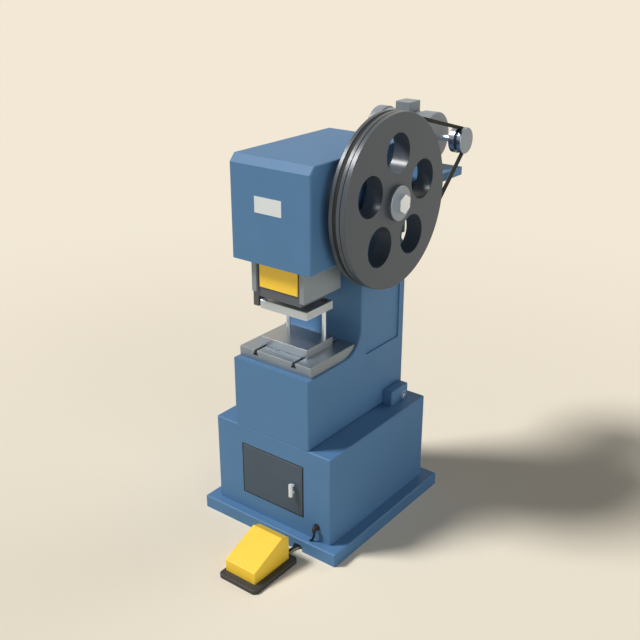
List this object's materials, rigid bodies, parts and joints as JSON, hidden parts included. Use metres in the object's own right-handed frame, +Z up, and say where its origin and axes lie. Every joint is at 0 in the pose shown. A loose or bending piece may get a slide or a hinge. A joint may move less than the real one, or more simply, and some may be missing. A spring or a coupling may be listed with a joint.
{
  "type": "mechanical stamping press",
  "caption": "C-frame mechanical stamping press on a pedestal with belt-driven flywheel, two-post die set and foot pedal.",
  "frame": {"origin": "middle of the plinth's underside, on the floor", "axes": "+Z up, +Y to the back where the motor is, +X towards the flywheel side"},
  "size_m": [0.7, 1.4088, 1.7144],
  "materials": {
    "press_blue": "semi-gloss machine paint",
    "door_slate": "semi-matt paint",
    "bright_steel": "bright turned steel",
    "black_plastic": "matt moulding",
    "zinc_plate": "zinc-plated sheet",
    "dark_steel": "planed cast iron, oiled",
    "black_screw": "blackened steel",
    "ground_steel": "surface ground",
    "bronze": "turned bronze",
    "gib_grey": "scraped and oiled",
    "switch_slate": "semi-matt paint",
    "ram_slate": "dark machine paint",
    "safety_yellow": "gloss paint",
    "wheel_black": "black machine paint, turned rim",
    "motor_grey": "semi-gloss paint",
    "plate_aluminium": "satin plate",
    "belt_rubber": "moulded belt",
    "pedal_black": "black paint",
    "pedal_yellow": "gloss paint",
    "cable_black": "round sheath"
  },
  "bodies": {
    "base": {"base_casting": "press_blue", "door_pins": "bright_steel", "door_catch": "black_plastic", "pivot_lug_left": "press_blue", "pivot_lug_right": "press_blue", "pivot_bolts": "bright_steel", "control_plate": "zinc_plate", "contactor": "black_plastic", "cable_elbow": "black_plastic", "pedal_cable": "cable_black", "pedal_base": "pedal_black", "pedal_gland": "black_plastic", "pedal_spring": "bright_steel", "pedal_switch": "black_plastic"},
    "door": {"cabinet_door": "door_slate", "door_handle": "bright_steel"},
    "treadle": {"pedal_treadle": "pedal_yellow", "pedal_pin": "bright_steel"},
    "frame": {"c_frame": "press_blue", "bolster": "dark_steel", "bolster_bolts": "black_screw", "lower_die_shoe": "ground_steel", "guide_post_left": "bright_steel", "guide_post_right": "bright_steel", "gib_left": "gib_grey", "gib_right": "gib_grey", "slide_switch": "switch_slate", "cap_screws": "black_screw", "crank_bearing_left": "bronze", "crank_bearing_right": "bronze", "shaft_bearing_left": "bronze", "shaft_bearing_right": "bronze", "bearing_caps": "press_blue", "rear_cover": "press_blue", "motor_bracket": "press_blue", "motor_housing": "motor_grey", "motor_bells": "motor_grey", "terminal_box": "motor_grey", "drive_belt": "belt_rubber", "nameplate": "plate_aluminium"},
    "wheel": {"flywheel": "wheel_black", "flywheel_key": "black_screw", "back_shaft": "bright_steel", "pinion": "gib_grey", "hub_washer": "ground_steel", "hub_bolt": "bright_steel"},
    "motor_rotor": {"motor_shaft": "bright_steel", "motor_pulley": "ground_steel"},
    "gear": {"bull_gear": "gib_grey"},
    "crank": {"crankshaft": "bright_steel", "clutch_ring": "gib_grey"},
    "block": {"slide_block": "bronze"},
    "slide": {"ram": "ram_slate", "ram_plate": "safety_yellow", "yoke": "gib_grey", "adjusting_screw": "bright_steel", "lock_nut": "black_screw", "die_shank": "bright_steel", "upper_die_shoe": "ground_steel", "guide_bushes": "bronze"}
  },
  "joints": [
    {"name": "frame_tilt", "type": "hinge", "parent": "base", "child": "frame", "pos_m": [0, 0.25, 0.474], "axis": [-1, 0, 0], "range_deg": [0, 25]},
    {"name": "door_swing", "type": "hinge", "parent": "base", "child": "door", "pos_m": [-0.1424, -0.3406, 0.25], "axis": [0, 0, -1], "range_deg": [0, 105]},
    {"name": "treadle_press", "type": "hinge", "parent": "base", "child": "treadle", "pos_m": [0.1075, -0.655, 0.024], "axis": [-1, 0, 0], "range_deg": [0, 2.8], "stiffness_Nm_per_rad": 120, "springref_deg": -3.44, "deforming": ["pedal_spring"]},
    {"name": "flywheel_spin", "type": "hinge", "parent": "frame", "child": "wheel", "pos_m": [0.26, 0.058, 1.3788], "axis": [1, 0, 0], "continuous": true},
    {"name": "motor_spin", "type": "hinge", "parent": "frame", "child": "motor_rotor", "pos_m": [0.25, 0.6058, 1.5179], "axis": [1, 0, 0], "continuous": true},
    {"name": "gear_spin", "type": "hinge", "parent": "frame", "child": "gear", "pos_m": [0.08, -0.1744, 1.3515], "axis": [1, 0, 0], "continuous": true},
    {"name": "crank_turn", "type": "hinge", "parent": "frame", "child": "crank", "pos_m": [0, -0.1744, 1.3515], "axis": [1, 0, 0], "range_deg": [0, 180]},
    {"name": "block_turn", "type": "hinge", "parent": "crank", "child": "block", "pos_m": [0, -0.1744, 1.3715], "axis": [1, 0, 0], "range_deg": [-180, 0]},
    {"name": "ram_slide", "type": "slide", "parent": "frame", "child": "slide", "axis": [0, 0, -1], "range_m": [0, 0.04]}
  ],
  "couplings": [
    {"joint": "motor_spin", "follows": "flywheel_spin", "ratio": 7.0173},
    {"joint": "gear_spin", "follows": "flywheel_spin", "ratio": -0.85714},
    {"joint": "block_turn", "follows": "crank_turn", "ratio": -1},
    {"joint": "ram_slide", "follows": "crank_turn", "m_per_rad": 0.012732}
  ]
}
